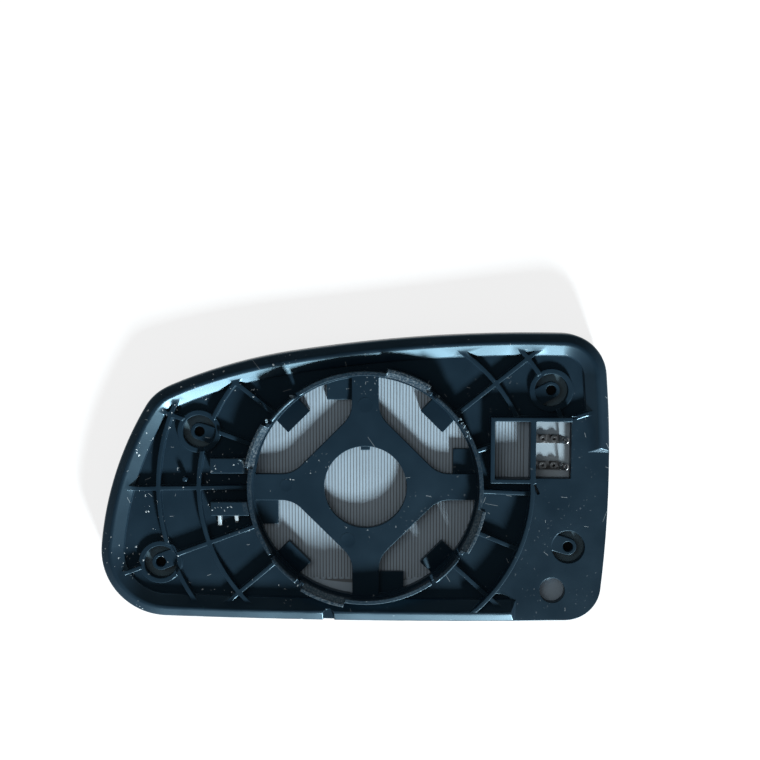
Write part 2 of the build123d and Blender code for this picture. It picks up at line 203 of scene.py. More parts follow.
class StageSettings(bpy.types.PropertyGroup):
    key_power: bpy.props.FloatProperty(
        name="Key light",
        description="Power of the low main light in watts",
        default=290.0,
        min=0.0,
    )
    fill_power: bpy.props.FloatProperty(
        name="Fill light",
        description="Power of the wide side light in watts",
        default=2.7,
        min=0.0,
    )
    floor: bpy.props.FloatVectorProperty(
        name="Floor",
        description="Colour of the plain floor",
        default=(0.88, 0.88, 0.88),
        size=3,
        subtype="COLOR",
    )


# Shared steps


def deselect_all():
    if bpy.context.mode != "OBJECT":
        bpy.ops.object.mode_set(mode="OBJECT")
    bpy.ops.object.select_all(action="DESELECT")


def activate(piece):
    deselect_all()
    piece.select_set(True)
    bpy.context.view_layer.objects.active = piece


def edit_all(piece):
    activate(piece)
    bpy.ops.object.mode_set(mode="EDIT")
    bpy.ops.mesh.select_all(action="SELECT")


def leave_edit():
    bpy.ops.object.mode_set(mode="OBJECT")


def select_verts(piece, test):
    """Selects the vertices whose place passes a test; edit mode goes on afterwards."""
    bpy.ops.mesh.select_mode(type="VERT")
    bpy.ops.mesh.select_all(action="DESELECT")
    bpy.ops.object.mode_set(mode="OBJECT")
    for vertex in piece.data.vertices:
        vertex.select = test(vertex.co)
    bpy.ops.object.mode_set(mode="EDIT")
    bpy.ops.mesh.select_mode(type="VERT")


def settle(piece):
    activate(piece)
    bpy.ops.object.transform_apply(location=True, rotation=True, scale=True)


def apply_modifier(piece, kind, **values):
    activate(piece)
    modifier = piece.modifiers.new(kind.title(), kind)
    for key, value in values.items():
        setattr(modifier, key, value)
    bpy.ops.object.modifier_apply(modifier=modifier.name)


def copy_of(node, name, merge=0.002 * MM, flat=0.12):
    """A merged copy of a CAD node; flat faces become whole within the given angle."""
    activate(frame["nodes"][node])
    bpy.ops.object.duplicate()
    piece = bpy.context.active_object
    piece.name = name
    piece.data.name = name
    del piece["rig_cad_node"]
    piece.data.materials.clear()
    edit_all(piece)
    bpy.ops.mesh.remove_doubles(threshold=merge)
    bpy.ops.mesh.dissolve_degenerate(threshold=merge)
    bpy.ops.mesh.dissolve_limited(angle_limit=radians(flat))
    leave_edit()
    return piece


def join_pieces(parts, name):
    """Joins like parts into one piece at the origin."""
    deselect_all()
    for part in parts:
        part.select_set(True)
    bpy.context.view_layer.objects.active = parts[0]
    bpy.ops.object.join()
    piece = bpy.context.active_object
    piece.name = name
    settle(piece)
    return piece


BEVEL_ANGLE = 38
SMOOTH_ANGLE = 32


def round_edges(piece, size, slot=-1):
    """Rounds the sharp edges, with the new faces in the given material slot."""
    apply_modifier(
        piece,
        "BEVEL",
        width=size,
        segments=2,
        limit_method="ANGLE",
        angle_limit=radians(BEVEL_ANGLE),
        use_clamp_overlap=False,
        miter_outer="MITER_ARC",
        material=slot,
    )
    activate(piece)
    bpy.ops.object.shade_smooth_by_angle(angle=radians(SMOOTH_ANGLE))
    apply_modifier(piece, "WEIGHTED_NORMAL", weight=100, keep_sharp=True)


def keep_inside(piece):
    """Brings stray points of the rounded corners back into the CAD box."""
    for vertex in piece.data.vertices:
        for axis in range(3):
            vertex.co[axis] = min(max(vertex.co[axis], CAD_LOW[axis]), CAD_HIGH[axis])


def finish_piece(piece, slot, *materials):
    piece.data.materials.clear()
    for material in materials:
        piece.data.materials.append(material)
    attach(piece, "root")


# Shared effects; noise scales are in cells per metre

FINE_GRAIN = 2600.0
SLOW_MOTTLE = 70.0
FLECK_BEND = 1500.0
FLECK_SHIFT = 1.2 * MM


def node_group(name, inputs, outputs):
    tree = bpy.data.node_groups.new(name, "ShaderNodeTree")
    for label, kind, value in inputs:
        socket = tree.interface.new_socket(label, in_out="INPUT", socket_type=kind)
        if value is not None:
            socket.default_value = value
    for label, kind in outputs:
        tree.interface.new_socket(label, in_out="OUTPUT", socket_type=kind)
    return tree, tree.nodes.new("NodeGroupInput"), tree.nodes.new("NodeGroupOutput")


def math_node(tree, operation, first, second=None, third=None, clamp=False):
    node = tree.nodes.new("ShaderNodeMath")
    node.operation = operation
    node.use_clamp = clamp
    for number, value in enumerate((first, second, third)):
        if value is None:
            continue
        if isinstance(value, (int, float)):
            node.inputs[number].default_value = value
        else:
            tree.links.new(value, node.inputs[number])
    return node.outputs[0]


def noise_node(tree, vector, scale, detail=2.0, rough=0.5):
    node = tree.nodes.new("ShaderNodeTexNoise")
    node.inputs["Scale"].default_value = scale
    node.inputs["Detail"].default_value = detail
    node.inputs["Roughness"].default_value = rough
    tree.links.new(vector, node.inputs["Vector"])
    return node


def split(tree, vector):
    node = tree.nodes.new("ShaderNodeSeparateXYZ")
    tree.links.new(vector, node.inputs["Vector"])
    return node


def map_range(tree, value, low, high, first=0.0, last=1.0):
    """Carries values between low and high over to the span from first to last."""
    node = tree.nodes.new("ShaderNodeMapRange")
    labels = ("From Min", "From Max", "To Min", "To Max")
    for label, number in zip(labels, (low, high, first, last)):
        node.inputs[label].default_value = number
    tree.links.new(value, node.inputs["Value"])
    return node.outputs["Result"]


def grain_group():
    """Fine moulded grain and slow mottling."""
    tree, start, end = node_group(
        "moulded_grain",
        [("Vector", "NodeSocketVector", None)],
        [("Height", "NodeSocketFloat"), ("Mottle", "NodeSocketFloat")],
    )
    fine = noise_node(tree, start.outputs["Vector"], FINE_GRAIN, 1.0)
    slow = noise_node(tree, start.outputs["Vector"], SLOW_MOTTLE, 3.0)
    tree.links.new(fine.outputs["Fac"], end.inputs["Height"])
    tree.links.new(slow.outputs["Fac"], end.inputs["Mottle"])
    return tree


def dust_group():
    """Scattered flecks of uneven size."""
    tree, start, end = node_group(
        "dust_flecks",
        [
            ("Vector", "NodeSocketVector", None),
            ("Scale", "NodeSocketFloat", 400.0),
            ("Share", "NodeSocketFloat", 0.1),
            ("Size", "NodeSocketFloat", 0.25),
        ],
        [("Mask", "NodeSocketFloat")],
    )
    bend = noise_node(tree, start.outputs["Vector"], FLECK_BEND, 1.0)
    shift = tree.nodes.new("ShaderNodeVectorMath")
    shift.operation = "MULTIPLY_ADD"
    tree.links.new(bend.outputs["Color"], shift.inputs[0])
    shift.inputs[1].default_value = (FLECK_SHIFT, FLECK_SHIFT, FLECK_SHIFT)
    tree.links.new(start.outputs["Vector"], shift.inputs[2])
    cells = tree.nodes.new("ShaderNodeTexVoronoi")
    tree.links.new(shift.outputs[0], cells.inputs["Vector"])
    tree.links.new(start.outputs["Scale"], cells.inputs["Scale"])
    parts = tree.nodes.new("ShaderNodeSeparateColor")
    tree.links.new(cells.outputs["Color"], parts.inputs["Color"])
    chosen = math_node(tree, "LESS_THAN", parts.outputs["Red"], start.outputs["Share"])
    reach = math_node(tree, "MULTIPLY", parts.outputs["Green"], start.outputs["Size"])
    near = math_node(tree, "LESS_THAN", cells.outputs["Distance"], reach)
    tree.links.new(math_node(tree, "MULTIPLY", chosen, near), end.inputs["Mask"])
    return tree


def tick_group():
    """Short rubbed ticks that lie every way."""
    tree, start, end = node_group(
        "rubbed_ticks",
        [
            ("Vector", "NodeSocketVector", None),
            ("Scale", "NodeSocketFloat", 100.0),
            ("Share", "NodeSocketFloat", 0.3),
            ("Length", "NodeSocketFloat", 2.0 * MM),
            ("Width", "NodeSocketFloat", 0.07 * MM),
        ],
        [("Mask", "NodeSocketFloat")],
    )
    cells = tree.nodes.new("ShaderNodeTexVoronoi")
    cells.voronoi_dimensions = "2D"
    tree.links.new(start.outputs["Vector"], cells.inputs["Vector"])
    tree.links.new(start.outputs["Scale"], cells.inputs["Scale"])
    parts = tree.nodes.new("ShaderNodeSeparateColor")
    tree.links.new(cells.outputs["Color"], parts.inputs["Color"])
    away = tree.nodes.new("ShaderNodeVectorMath")
    away.operation = "SUBTRACT"
    tree.links.new(start.outputs["Vector"], away.inputs[0])
    tree.links.new(cells.outputs["Position"], away.inputs[1])
    turn = tree.nodes.new("ShaderNodeVectorRotate")
    turn.rotation_type = "Z_AXIS"
    tree.links.new(away.outputs[0], turn.inputs["Vector"])
    angle = math_node(tree, "MULTIPLY", parts.outputs["Green"], 2 * pi)
    tree.links.new(angle, turn.inputs["Angle"])
    sides = split(tree, turn.outputs[0])
    reach = math_node(tree, "MULTIPLY", parts.outputs["Blue"], start.outputs["Length"])
    along = math_node(tree, "LESS_THAN", math_node(tree, "ABSOLUTE", sides.outputs["X"]), reach)
    across = math_node(tree, "ABSOLUTE", sides.outputs["Y"])
    across = math_node(tree, "LESS_THAN", across, start.outputs["Width"])
    chosen = math_node(tree, "LESS_THAN", parts.outputs["Red"], start.outputs["Share"])
    mask = math_node(tree, "MULTIPLY", math_node(tree, "MULTIPLY", along, across), chosen)
    tree.links.new(mask, end.inputs["Mask"])
    return tree


GROUPS = {}


def place_group(tree, name, vector, **values):
    makers = {"grain": grain_group, "dust": dust_group, "ticks": tick_group}
    if name not in GROUPS:
        GROUPS[name] = makers[name]()
    node = tree.nodes.new("ShaderNodeGroup")
    node.node_tree = GROUPS[name]
    tree.links.new(vector, node.inputs["Vector"])
    for label, value in values.items():
        node.inputs[label].default_value = value
    return node


# Finishes


def new_finish(name):
    """A material with its tree, its shader, its object coordinates and its facing."""
    material = bpy.data.materials.new(name)
    material.use_nodes = True
    tree = material.node_tree
    place = tree.nodes.new("ShaderNodeTexCoord")
    shader = tree.nodes["Principled BSDF"]
    return material, tree, shader, place.outputs["Object"], place.outputs["Normal"]


def mix_colour(tree, factor, first, second):
    node = tree.nodes.new("ShaderNodeMix")
    node.data_type = "RGBA"
    tree.links.new(factor, node.inputs["Factor"])
    for socket, value in ((node.inputs[6], first), (node.inputs[7], second)):
        if hasattr(value, "is_linked"):
            tree.links.new(value, socket)
        else:
            socket.default_value = (*value, 1.0)
    return node.outputs[2]


def scaled(colour, factor):
    return tuple(channel * factor for channel in colour)


def add_bump(tree, shader, height, strength, distance):
    bump = tree.nodes.new("ShaderNodeBump")
    bump.inputs["Strength"].default_value = strength
    bump.inputs["Distance"].default_value = distance
    tree.links.new(height, bump.inputs["Height"])
    tree.links.new(bump.outputs["Normal"], shader.inputs["Normal"])


PLASTIC_SHEEN = (0.5, 0.82, 1.0, 1.0)
# Ticks on the plastic: cells per metre, length in millimetres, share of cells, strength
TICK_LAYERS = ((70.0, 2.6, 0.3, 0.3), (140.0, 1.1, 0.28, 0.45))
TICK_FACING = 0.7
# Dust thins out from the left end to the middle
DUST_LEFT, DUST_RIGHT = -70.0, 20.0
DUST_LEAST = 0.1
DRIFT_SCALE = 45.0
DRIFT_CUT = 0.54
# Rubbing on the socket ring, most of all on its four guides
RING_MIDDLE, RING_REACH = 42.6, 1.9
RING_ABOVE = 2.4
RUB_SCALE = 1500.0
RUB_LOW, RUB_HIGH, RUB_MOST = 0.46, 0.8, 0.34
GUIDE_ANGLE, GUIDE_REACH = 68.5, 11.0
GUIDE_SHARE = 0.7
# The two small gussets beside the lower guide block, painted paler as a highlight
GUSSET_X, GUSSET_APART, GUSSET_HALF = -49.6, 3.0, 0.7
GUSSET_Y, GUSSET_REACH = -12.1, 2.2
GUSSET_ABOVE = -0.9
GUSSET_HIGHLIGHT = 0.4


def dust_mask(tree, place, sides):
    """Flecks in drifts, most of them towards the left end."""
    left = map_range(tree, sides.outputs["X"], DUST_RIGHT * MM, DUST_LEFT * MM, DUST_LEAST)
    drift = noise_node(tree, place, DRIFT_SCALE, 2.0)
    patchy = math_node(tree, "GREATER_THAN", drift.outputs["Fac"], DRIFT_CUT)
    shown = math_node(tree, "MULTIPLY", left, patchy)
    flecks = place_group(tree, "dust", place, Scale=860.0, Share=0.5, Size=0.27)
    return math_node(tree, "MULTIPLY", flecks.outputs["Mask"], shown)


def ring_wear(tree, place, sides):
    """Rubbed spots on the edge of the socket ring."""
    x, y = sides.outputs["X"], sides.outputs["Y"]
    around = math_node(tree, "MULTIPLY_ADD", y, y, math_node(tree, "POWER", x, 2.0))
    around = math_node(tree, "SQRT", around)
    ring = math_node(tree, "COMPARE", around, RING_MIDDLE * MM, RING_REACH * MM)
    above = math_node(tree, "GREATER_THAN", sides.outputs["Z"], RING_ABOVE * MM)
    ring = math_node(tree, "MULTIPLY", ring, above)
    turn = math_node(tree, "FLOORED_MODULO", math_node(tree, "ARCTAN2", y, x), pi / 2)
    guide = math_node(tree, "COMPARE", turn, radians(GUIDE_ANGLE), radians(GUIDE_REACH))
    share = math_node(tree, "MULTIPLY_ADD", guide, GUIDE_SHARE, 1.0 - GUIDE_SHARE)
    spots = noise_node(tree, place, RUB_SCALE, 4.0, 0.75).outputs["Fac"]
    rubbed = map_range(tree, spots, RUB_LOW, RUB_HIGH, 0.0, RUB_MOST)
    return math_node(tree, "MULTIPLY", rubbed, math_node(tree, "MULTIPLY", ring, share))


def gusset_highlight(tree, sides):
    """Painted highlight: paler on the two small gussets."""
    apart = math_node(tree, "SUBTRACT", sides.outputs["X"], GUSSET_X * MM)
    apart = math_node(tree, "ABSOLUTE", apart)
    across = math_node(tree, "COMPARE", apart, GUSSET_APART * MM, GUSSET_HALF * MM)
    along = math_node(tree, "COMPARE", sides.outputs["Y"], GUSSET_Y * MM, GUSSET_REACH * MM)
    above = math_node(tree, "GREATER_THAN", sides.outputs["Z"], GUSSET_ABOVE * MM)
    mask = math_node(tree, "MULTIPLY", math_node(tree, "MULTIPLY", across, along), above)
    return math_node(tree, "MULTIPLY", mask, GUSSET_HIGHLIGHT)


def plastic_finish(name, colour, rough, dust_and_highlight_colour=None):
    """Black moulding; with a dust and highlight colour it is also dusty, rubbed and ticked, with
    a painted highlight on the two small gussets.
    """
    material, tree, shader, place, facing = new_finish(name)
    grain = place_group(tree, "grain", place)
    low, high = scaled(colour, 0.8), scaled(colour, 1.25)
    base = mix_colour(tree, grain.outputs["Mottle"], low, high)
    roughness = math_node(tree, "MULTIPLY_ADD", grain.outputs["Mottle"], 0.16, rough - 0.08)
    if dust_and_highlight_colour is not None:
        sides = split(tree, place)
        dust = dust_mask(tree, place, sides)
        base = mix_colour(tree, dust, base, dust_and_highlight_colour)
        # Painted highlight on the two gussets, in the dust colour
        gussets = gusset_highlight(tree, sides)
        wear_and_highlight = math_node(tree, "MAXIMUM", ring_wear(tree, place, sides), gussets)
        base = mix_colour(tree, wear_and_highlight, base, dust_and_highlight_colour)
        tilt = split(tree, facing)
        upward = math_node(tree, "GREATER_THAN", tilt.outputs["Z"], TICK_FACING)
        for scale, length, share, strength in TICK_LAYERS:
            sizes = {"Scale": scale, "Length": length * MM, "Share": share}
            ticks = place_group(tree, "ticks", place, **sizes)
            faint = math_node(tree, "MULTIPLY", ticks.outputs["Mask"], strength)
            faint = math_node(tree, "MULTIPLY", faint, upward)
            base = mix_colour(tree, faint, base, dust_and_highlight_colour)
        roughness = math_node(tree, "MULTIPLY_ADD", dust, 0.4, roughness)
    tree.links.new(base, shader.inputs["Base Color"])
    tree.links.new(roughness, shader.inputs["Roughness"])
    shader.inputs["Specular Tint"].default_value = PLASTIC_SHEEN
    add_bump(tree, shader, grain.outputs["Height"], 0.12, 0.05 * MM)
    return material


def print_finish(name, colour, rough, contrast, between=None):
    """Satin print or film with slow changes of tone; a second colour shows between the tracks."""
    material, tree, shader, place, _ = new_finish(name)
    grain = place_group(tree, "grain", place)
    low = scaled(colour, 1.0 - contrast)
    high = scaled(colour, 1.0 + contrast)
    base = mix_colour(tree, grain.outputs["Mottle"], low, high)
    if between is not None:
        base = mix_colour(tree, striped_field(tree, place), base, between)
        base = mix_colour(tree, boss_spots(tree, place, POCKET_SPOT_RADIUS), base, POCKET_SPOT_COLOUR)
        base = mix_colour(tree, boss_spots(tree, place, HOLE_SPOT_RADIUS), base, HOLE_SPOT_COLOUR)
    tree.links.new(base, shader.inputs["Base Color"])
    roughness = math_node(tree, "MULTIPLY_ADD", grain.outputs["Mottle"], 0.2, rough - 0.1)
    tree.links.new(roughness, shader.inputs["Roughness"])
    add_bump(tree, shader, grain.outputs["Height"], 0.1, 0.03 * MM)
    return material


# How far the field of tracks reaches past their middle lines
FIELD_SIDE = 0.75
FIELD_BELOW = 1.3


def striped_field(tree, place):
    """One inside the field that the winding tracks cover."""
    sides = split(tree, place)
    half = (TRACK_RUNS - 1) * TRACK_PITCH / 2
    middle = (TRACK_FIRST + half) * MM
    reach = (half + FIELD_SIDE) * MM
    across = math_node(tree, "COMPARE", sides.outputs["X"], middle, reach)
    share = math_node(tree, "DIVIDE", sides.outputs["X"], TRACK_BOW_HALF * MM)
    share = math_node(tree, "MINIMUM", math_node(tree, "MULTIPLY", share, share), 1.0)
    edge = (TRACK_LOW - FIELD_BELOW) * MM
    low = math_node(tree, "MULTIPLY_ADD", share, TRACK_BOW * MM, edge)
    above = math_node(tree, "GREATER_THAN", sides.outputs["Y"], low)
    return math_node(tree, "MULTIPLY", across, above)


# Darker round spots on the film behind the four boss pockets, nearly black behind their small
# holes; they give the pocket and hole floors their dark tone
BOSS_PLACES = ((-59.6, 20.4), (-74.2, -27.2), (66.4, 35.3), (73.3, -21.7))
POCKET_SPOT_RADIUS = 6.6
POCKET_SPOT_COLOUR = (0.045, 0.08, 0.1)
HOLE_SPOT_RADIUS = 2.3
HOLE_SPOT_COLOUR = (0.003, 0.004, 0.005)


def boss_spots(tree, place, radius):
    """One on the round spots of the given radius behind the bosses."""
    flat = tree.nodes.new("ShaderNodeVectorMath")
    flat.operation = "MULTIPLY"
    flat.inputs[1].default_value = (1.0, 1.0, 0.0)
    tree.links.new(place, flat.inputs[0])
    total = None
    for x, y in BOSS_PLACES:
        gap = tree.nodes.new("ShaderNodeVectorMath")
        gap.operation = "DISTANCE"
        gap.inputs[1].default_value = (x * MM, y * MM, 0.0)
        tree.links.new(flat.outputs[0], gap.inputs[0])
        spot = math_node(tree, "LESS_THAN", gap.outputs["Value"], radius * MM)
        total = spot if total is None else math_node(tree, "ADD", total, spot)
    return total


TARNISH_SCALE = 900.0
DULL_LOW, DULL_HIGH = 0.48, 0.7


def metal_finish(name, colour, tarnish, rough):
    """Tinned metal with dull spots."""
    material, tree, shader, place, _ = new_finish(name)
    spots = noise_node(tree, place, TARNISH_SCALE, 3.0)
    dull = map_range(tree, spots.outputs["Fac"], DULL_LOW, DULL_HIGH)
    base = mix_colour(tree, dull, colour, tarnish)
    tree.links.new(base, shader.inputs["Base Color"])
    roughness = math_node(tree, "MULTIPLY_ADD", dull, 0.25, rough)
    tree.links.new(roughness, shader.inputs["Roughness"])
    shader.inputs["Metallic"].default_value = 1.0
    add_bump(tree, shader, spots.outputs["Fac"], 0.15, 0.03 * MM)
    return material


WIPE_SCALE = 35.0
SILVER = ((0.8, 0.83, 0.84), (0.86, 0.88, 0.88))


def silver_finish():
    """Silvered glass, bright all over, with faint wiping marks."""
    material, tree, shader, place, _ = new_finish("silvered_glass")
    wipe = noise_node(tree, place, WIPE_SCALE, 4.0, 0.6)
    roughness = math_node(tree, "MULTIPLY_ADD", wipe.outputs["Fac"], 0.03, 0.005)
    tree.links.new(roughness, shader.inputs["Roughness"])
    base = mix_colour(tree, wipe.outputs["Fac"], *SILVER)
    tree.links.new(base, shader.inputs["Base Color"])
    shader.inputs["Metallic"].default_value = 1.0
    return material


# Pieces


CARRIER_MERGE = 0.05
# Scale on the edge colour for the rounded edges, which carry a painted highlight as well as wear
EDGE_HIGHLIGHT_TONE = 1.6


class MIRROR_OT_carrier(bpy.types.Operator):
    """Black moulded carrier with softly rounded edges"""

    bl_idname = "mirror.carrier"
    bl_label = "Carrier"

    def execute(self, context):
        sizes = context.scene.mirror_carrier
        piece = copy_of("carrier_plate", "carrier_shell", CARRIER_MERGE * MM)
        body = plastic_finish("carrier_plastic", sizes.plastic, 0.37, sizes.dust)
        # Every rounded edge gets this lighter finish: a painted highlight along the edges, with
        # some rubbed wear
        edge = plastic_finish("carrier_edge", scaled(sizes.wear_and_highlight, EDGE_HIGHLIGHT_TONE), 0.28)
        piece.data.materials.append(body)
        piece.data.materials.append(edge)
        round_edges(piece, sizes.edge_round, 1)
        keep_inside(piece)
        finish_piece(piece, "carrier", body, edge)
        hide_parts("carrier_plate")
        return {"FINISHED"}


# Pin marks: place on the hub and spokes, and radius
EJECTOR_MARKS = ((0.0, 29.8, 2.7), (-6.4, -19.6, 2.7), (-28.6, 0.6, 2.2))
EJECTOR_RISE = 0.05
EJECTOR_DEPTH = 0.2
EJECTOR_RIM = 0.25
EJECTOR_DISH = 0.02


class MIRROR_OT_ejector_marks(bpy.types.Operator):
    """Faint round pin marks on the hub and spokes"""

    bl_idname = "mirror.ejector_marks"
    bl_label = "Ejector marks"

    def execute(self, context):
        sizes = context.scene.mirror_carrier
        discs = []
        for x, y, radius in EJECTOR_MARKS:
            deselect_all()
            bpy.ops.mesh.primitive_cylinder_add(
                vertices=48,
                radius=radius * MM,
                depth=EJECTOR_DEPTH * MM,
                location=(x * MM, y * MM, (EJECTOR_RISE - EJECTOR_DEPTH / 2) * MM),
            )
            disc = bpy.context.active_object
            settle(disc)
            edit_all(disc)
            top = EJECTOR_RISE * MM
            select_verts(disc, lambda place: place.z > top - 1e-6)
            bpy.ops.mesh.inset(thickness=EJECTOR_RIM * MM)
            bpy.ops.transform.translate(value=(0.0, 0.0, -EJECTOR_DISH * MM))
            leave_edit()
            discs.append(disc)
        piece = join_pieces(discs, "ejector_marks")
        bpy.ops.object.shade_smooth_by_angle(angle=radians(25))
        finish = plastic_finish("carrier_mark", sizes.plastic, 0.36)
        finish_piece(piece, "carrier", finish)
        return {"FINISHED"}


TORN_SCALE = (1.0, 0.6, 0.35)
TORN_TURN = 1.3
TORN_RAGGED = 0.22
# Torn bits: place, size and seed; on the ring's edge and on the upper guide block
TORN_BITS = (
    (35.2, 22.6, 4.1, 0.8, 1),
    (36.3, 20.9, 4.1, 0.7, 2),
    (36.6, 19.4, 4.0, 0.9, 3),
    (37.4, 18.6, 4.1, 0.6, 4),
    (34.4, 23.9, 4.1, 0.5, 5),
    (-43.6, 9.6, 2.9, 0.9, 6),
    (-44.8, 10.3, 2.9, 0.7, 7),
    (-42.9, 8.3, 2.9, 0.7, 8),
    (-45.4, 9.1, 2.9, 0.5, 9),
    (-43.2, 10.6, 2.8, 0.6, 10),
    (-34.9, 24.9, 5.6, 0.8, 11),
    (-26.0, 33.6, 5.6, 0.8, 12),
    (26.0, 33.4, 5.6, 0.6, 13),
    (33.7, 25.6, 5.6, 0.6, 14),
)


class MIRROR_OT_torn_bits(bpy.types.Operator):
    """Ragged whitened bits where the moulding has been rubbed"""

    bl_idname = "mirror.torn_bits"
    bl_label = "Torn bits"

    def execute(self, context):
        sizes = context.scene.mirror_carrier
        bits = []
        for x, y, z, size, seed in TORN_BITS:
            deselect_all()
            bpy.ops.mesh.primitive_ico_sphere_add(
                subdivisions=2,
                radius=size * MM,
                location=(x * MM, y * MM, z * MM),
            )
            bit = bpy.context.active_object
            bit.scale = TORN_SCALE
            bit.rotation_euler = (0.0, 0.0, seed * TORN_TURN)
            settle(bit)
            edit_all(bit)
            bpy.ops.transform.vertex_random(
                offset=TORN_RAGGED * size * MM,
                uniform=0.3,
                normal=0.4,
                seed=seed,
            )
            leave_edit()
            bits.append(bit)
        piece = join_pieces(bits, "torn_bits")
        finish = plastic_finish("torn_plastic", scaled(sizes.wear_and_highlight, 2.2), 0.5)
        finish_piece(piece, "carrier", finish)
        return {"FINISHED"}


TRACK_FIRST = -43.0
TRACK_RUNS = 90
TRACK_LOW = -35.0
TRACK_HIGH = 40.5
TRACK_BOW = 3.2
TRACK_BOW_HALF = 24.0
TRACK_STEPS = 18
TRACK_LIFT = 10.0
BEND_STEPS = 8
WELD = 0.01 * MM


class MIRROR_OT_heater_tracks(bpy.types.Operator):
    """Printed heating tracks, one long winding line on the film"""

    bl_idname = "mirror.heater_tracks"
    bl_label = "Heater tracks"

    def execute(self, context):
        sizes = context.scene.mirror_film
        pitch = sizes.pitch
        low = TRACK_LOW * MM
        high = TRACK_HIGH * MM
        start = TRACK_FIRST * MM
        lift = TRACK_LIFT * MM
        deselect_all()
        bpy.ops.mesh.primitive_grid_add(
            x_subdivisions=1,
            y_subdivisions=TRACK_STEPS,
            size=1.0,
            location=(start, (low + high) / 2, lift),
        )
        piece = bpy.context.active_object
        piece.name = "heater_tracks"
        piece.scale = (sizes.track_width, high - low, 1.0)
        settle(piece)
        edit_all(piece)
        bpy.ops.mesh.duplicate()
        bpy.ops.transform.translate(value=(pitch, 0.0, 0.0))
        middle = start + pitch / 2
        select_verts(piece, lambda place: place.y < low + WELD and place.x < middle)
        bpy.ops.mesh.spin(
            steps=BEND_STEPS,
            angle=pi,
            center=(middle, low, lift),
            axis=(0.0, 0.0, 1.0),
        )
        select_verts(piece, lambda place: place.y > high - WELD and place.x > middle)
        bpy.ops.mesh.spin(
            steps=BEND_STEPS,
            angle=-pi,
            center=(middle + pitch, high, lift),
            axis=(0.0, 0.0, 1.0),
        )
        bpy.ops.mesh.select_all(action="SELECT")
        bpy.ops.mesh.remove_doubles(threshold=WELD)
        bpy.ops.mesh.normals_make_consistent(inside=False)
        leave_edit()
        apply_modifier(
            piece,
            "ARRAY",
            count=TRACK_RUNS // 2,
            use_relative_offset=False,
            use_constant_offset=True,
            constant_offset_displace=(2 * pitch, 0.0, 0.0),
            use_merge_vertices=True,
            merge_threshold=WELD,
        )
        for vertex in piece.data.vertices:
            if vertex.co.y < low + WELD:
                share = min(1.0, (vertex.co.x / (TRACK_BOW_HALF * MM)) ** 2)
                vertex.co.y += TRACK_BOW * MM * share
        edit_all(piece)
        bpy.ops.mesh.normals_make_consistent(inside=False)
        leave_edit()
        if piece.data.polygons[0].normal.z < 0:
            edit_all(piece)
            bpy.ops.mesh.flip_normals()
            leave_edit()
        apply_modifier(
            piece,
            "SHRINKWRAP",
            target=frame["nodes"]["heater_film"],
            wrap_method="PROJECT",
            use_project_z=True,
            use_negative_direction=True,
            use_positive_direction=False,
        )
        apply_modifier(piece, "SOLIDIFY", thickness=sizes.track_thick, offset=1.0)
        activate(piece)
        bpy.ops.object.shade_smooth_by_angle(angle=radians(30))
        finish_piece(piece, "film", print_finish("printed_track", sizes.track, 0.5, 0.12))
        return {"FINISHED"}


class MIRROR_OT_film(bpy.types.Operator):
    """Heating film, and the plain patch under the terminals"""

    bl_idname = "mirror.film"
    bl_label = "Film"

    def execute(self, context):
        sizes = context.scene.mirror_film
        film = frame["nodes"]["heater_film"]
        film.data.materials.clear()
        finish = print_finish("heating_film", sizes.track, 0.45, 0.12, sizes.film)
        film.data.materials.append(finish)
        patch = frame["nodes"]["terminal_patch"]
        patch.data.materials.clear()
        patch.data.materials.append(print_finish("plain_patch", sizes.patch, 0.36, 0.1))
        return {"FINISHED"}


class MIRROR_OT_terminals(bpy.types.Operator):
    """Tinned terminals with softened edges"""

    bl_idname = "mirror.terminals"
    bl_label = "Terminals"

    def execute(self, context):
        sizes = context.scene.mirror_metal
        finish = metal_finish("tinned_strip", sizes.strip, sizes.tarnish, 0.28)
        for node in ("terminal_upper", "terminal_lower"):
            piece = copy_of(node, node + "_strip")
            round_edges(piece, sizes.edge_round)
            finish_piece(piece, "terminal", finish)
            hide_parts(node)
        return {"FINISHED"}


class MIRROR_OT_rivets(bpy.types.Operator):
    """Hollow rivets with softened heads"""

    bl_idname = "mirror.rivets"
    bl_label = "Rivets"

    def execute(self, context):
        sizes = context.scene.mirror_metal
        piece = copy_of("rivets", "rivet_heads")
        round_edges(piece, sizes.edge_round)
        finish = metal_finish("rivet_metal", scaled(sizes.strip, 0.95), sizes.tarnish, 0.3)
        finish_piece(piece, "rivet", finish)
        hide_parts("rivets")
        return {"FINISHED"}


GLASS_CENTRE = 1243.7
GLASS_FACING = 0.9


def even_normals(piece):
    """Gives both faces of the glass a true sphere's normals, so reflections run evenly."""
    mesh = piece.data
    centre = Vector((0.0, 0.0, GLASS_CENTRE * MM))
    normals = [None] * len(mesh.loops)
    for face in mesh.polygons:
        for corner in face.loop_indices:
            vertex = mesh.vertices[mesh.loops[corner].vertex_index]
            away = (vertex.co - centre).normalized()
            if face.normal.z < -GLASS_FACING:
                normals[corner] = away
            elif face.normal.z > GLASS_FACING:
                normals[corner] = -away
            else:
                normals[corner] = face.normal.copy()
    mesh.normals_split_custom_set(normals)


class MIRROR_OT_glass(bpy.types.Operator):
    """Convex silvered glass"""

    bl_idname = "mirror.glass"
    bl_label = "Glass"

    def execute(self, context):
        piece = copy_of("mirror_glass", "mirror_pane", flat=0.0)
        activate(piece)
        bpy.ops.object.shade_smooth_by_angle(angle=radians(30))
        even_normals(piece)
        finish_piece(piece, "mirror", silver_finish())
        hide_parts("mirror_glass")
        return {"FINISHED"}


# Stage

